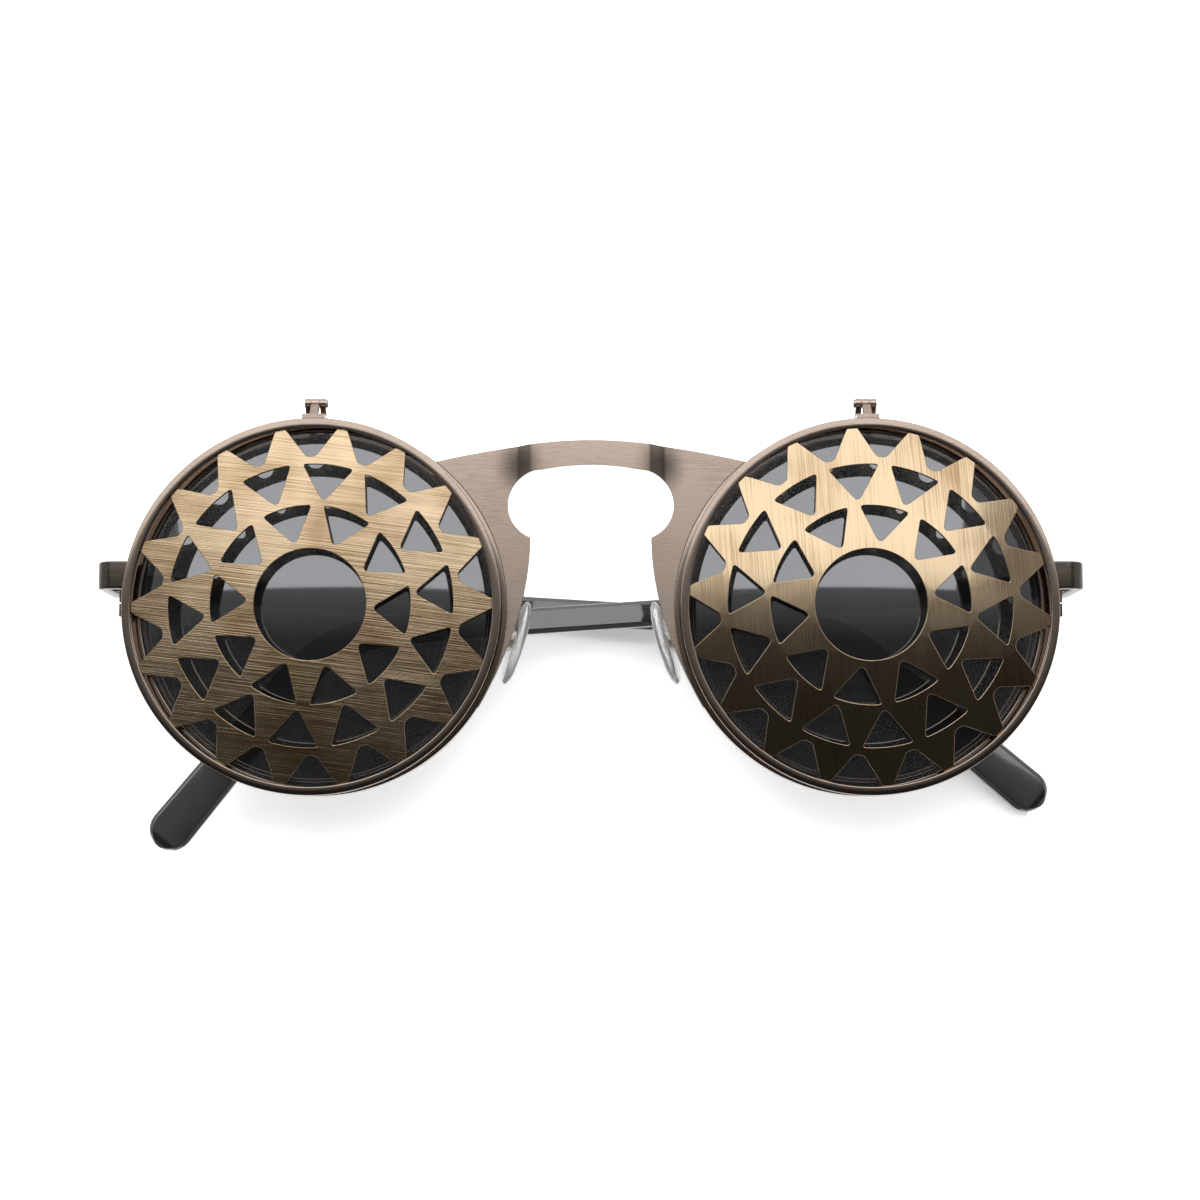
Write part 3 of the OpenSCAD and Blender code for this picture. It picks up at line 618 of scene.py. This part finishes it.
def sleeve_mesh(hand):
    bend = bends[hand]
    cap_start = temple_len - tip_h / 2
    cap_angles = (0, 15, 30, 42, 54, 64, 73, 80, 85, 88)
    stations = [sleeve_start]
    while stations[-1] < cap_start - 2 * MM:
        stations.append(stations[-1] + (2.0 if stations[-1] < bend_start - 8 * MM else 1.0) * MM)
    stations += [cap_start + tip_h / 2 * math.sin(math.radians(a)) for a in cap_angles]
    bm = bmesh.new()
    rings = []
    for s in stations:
        point, heading = temple_at(s, bend)
        half = sleeve_half(s)
        thin = min(1.0, 0.55 + 0.45 * half / (tip_h / 2) * 1.35) if s > cap_start else 1.0
        spin = Matrix.Rotation(heading, 3, "Z")
        section = sleeve_section(half, sleeve_t * thin)
        verts = [bm.verts.new(point + spin @ Vector((0, y, z))) for y, z in section]
        rings.append([bm.edges.new(pair) for pair in zip(verts, verts[1:] + verts[:1])])
    for a, b in zip(rings, rings[1:]):
        bmesh.ops.bridge_loops(bm, edges=a + b)
    bmesh.ops.edgeloop_fill(bm, edges=rings[0])
    bmesh.ops.edgeloop_fill(bm, edges=rings[-1])
    return bm


arm_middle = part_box("sleeve_left")[0].z + sleeve_t / 2
pivot_z = middle("temple_screw_left").z
for side, hand in SIDES:
    place = temple_frame(side, hand) @ Matrix.Translation((0, 0, arm_middle - pivot_z))
    bm = sleeve_mesh(hand)
    bmesh.ops.transform(bm, matrix=place, verts=bm.verts)
    sleeve = build("bevelled_sleeve_" + hand, bm, black, edge=0.12)
    fit(sleeve, "temple_" + hand, "black_sleeve", "sleeve_" + hand)
    # The arm's bronze is painted dark, as painted shade.
    arm = build("flat_arm_" + hand, from_cad("temple_arm_" + hand), dark_bronze, edge=0.25)
    fit(arm, "temple_" + hand, "bronze_arm", "temple_arm_" + hand)

# ---------------------------------------------------------------- nose pads
# A soft clear pad is pushed into a small metal box on a bent wire arm, which
# is soldered to the back of the rim.
silicone = Finish("clear_silicone", Roughness=0.1, Transmission_Weight=0.86, IOR=1.42)
milk = silicone.noise(silicone.place((0.3, 0.3, 0.3)), detail=2)
silicone.feed(Base_Color=silicone.mix(milk, (0.97, 0.98, 0.98), (0.92, 0.93, 0.92)))
pad_size = Vector((5.6, 12.2, 1.5)) * MM
pad_splay = math.radians(22)
pad_lean = math.radians(16)
pad_spread = 21.2 * MM
pad_down = 4.6 * MM
pad_fullness = 2.4
plate_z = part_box("bridge_plate")[0].z
pad_z = plate_z - 0.3 * MM - pad_size.x / 2 * math.cos(pad_splay) - pad_size.z / 2 * math.sin(pad_splay)
for side, hand in SIDES:
    mirror = Matrix.Scale(-1, 4, (1, 0, 0)) if side > 0 else Matrix.Identity(4)
    place = (mirror @ Matrix.Translation((-pad_spread / 2, rim_y - pad_down, pad_z))
             @ Matrix.Rotation(-pad_lean, 4, "Z") @ Matrix.Rotation(math.pi / 2 + pad_splay, 4, "Y"))
    bm = bmesh.new()
    bmesh.ops.create_uvsphere(bm, u_segments=48, v_segments=24, radius=0.5)
    for vert in bm.verts:
        level = abs(vert.co.z) * 2
        if level < 0.999:
            spread = (1 - level ** pad_fullness) ** (1 / pad_fullness) / math.sqrt(1 - level ** 2)
            vert.co.x *= spread
            vert.co.y *= spread
    bmesh.ops.scale(bm, vec=pad_size, verts=bm.verts)
    bmesh.ops.transform(bm, matrix=place, verts=bm.verts)
    fit(build("soft_pad_" + hand, bm, silicone, smooth=80), "front", "clear_pad", "nose_pad_" + hand)
    box = build("pad_box_shell_" + hand, from_cad("pad_box_" + hand), steel, edge=0.1)
    fit(box, "front", "pad_metal", "pad_box_" + hand)
    arm = build("bent_pad_arm_" + hand, from_cad("pad_arm_" + hand), steel, smooth=60)
    fit(arm, "front", "pad_metal", "pad_arm_" + hand)

# ---------------------------------------------------------------- stage and light
# A thin pale plate carries the object. It is narrower than the front, so that
# the opened temples hang free beside it. A pale floor lies far below.
def pale(name, colour, glow, gain):
    """A pale surface that the camera, metal and glass see brighter than it lights the object.
    Glow is light of its own, and gain is more of the light that falls on it."""
    finish = Finish(name, Roughness=1.0, Specular_IOR_Level=0.0, Emission_Strength=1.0)
    straight = finish.add("LightPath", output="Is Camera Ray")
    glossy = finish.add("LightPath", output="Is Glossy Ray")
    through = finish.add("LightPath", output="Is Transmission Ray")
    seen = straight.math("MAXIMUM", glossy).math("MAXIMUM", through)
    finish.feed(Base_Color=(*colour, 1), Emission_Color=finish.mix(seen, (0, 0, 0), (glow, glow, glow)))
    extra = finish.add("BsdfDiffuse", inputs={"Color": finish.mix(seen, (0, 0, 0), (gain, gain, gain))})
    both = finish.add("AddShader", inputs={0: Term(finish, finish.shader.outputs[0]), 1: extra})
    finish.join(finish.tree.nodes["Material Output"].inputs["Surface"], both)
    return finish


plate_top = pale("pale_block", (0.84, 0.84, 0.84), 0.2, 1.45)
far_floor = pale("pale_floor", (0.5, 0.5, 0.5), 0.9, 0.2)
plate_w = 128 * MM
plate_d = 120 * MM
plate_h = 1 * MM
drop = 260 * MM
bm = bmesh.new()
plate = Matrix.Translation((0, 0, -plate_h / 2)) @ Matrix.Diagonal((plate_w, plate_d, plate_h, 1))
bmesh.ops.create_cube(bm, size=1, matrix=plate)
build("block", bm, plate_top)
bm = bmesh.new()
bmesh.ops.create_grid(bm, x_segments=1, y_segments=1, size=4, matrix=Matrix.Translation((0, 0, -drop)))
build("floor", bm, far_floor)


def soft_box(name, place, tilt, width, depth, radiance):
    lamp = bpy.data.lights.new(name, "AREA")
    lamp.shape = "RECTANGLE"
    lamp.size = width
    lamp.size_y = depth
    lamp.energy = radiance * math.pi * width * depth
    holder = bpy.data.objects.new(name, lamp)
    holder.location = place
    holder.rotation_euler = tilt
    holder.visible_camera = False
    bpy.context.scene.collection.objects.link(holder)


soft_box("window", (-0.05, 0.402, 0.60), (math.radians(-31), 0, 0), 0.75, 0.66, 2.0)

world = bpy.data.worlds.new("studio")
bpy.context.scene.world = world
world.use_nodes = True
sky = Web(world.node_tree)
direction = sky.add("TexCoord", output="Generated")
up = sky.add("SeparateXYZ", inputs={0: direction}, output="Z")
back = sky.add("SeparateXYZ", inputs={0: direction}, output="Y")
wall = 1 - sky.step(up, 0.62, 0.86)
level = 0.03 + 0.36 * sky.step(back, 0.0, 0.15) + wall * (0.6 + back * 0.35)
background = world.node_tree.nodes["Background"]
sky.join(background.inputs["Strength"], level)
sky.join(background.inputs["Color"], (1, 1, 1, 1))
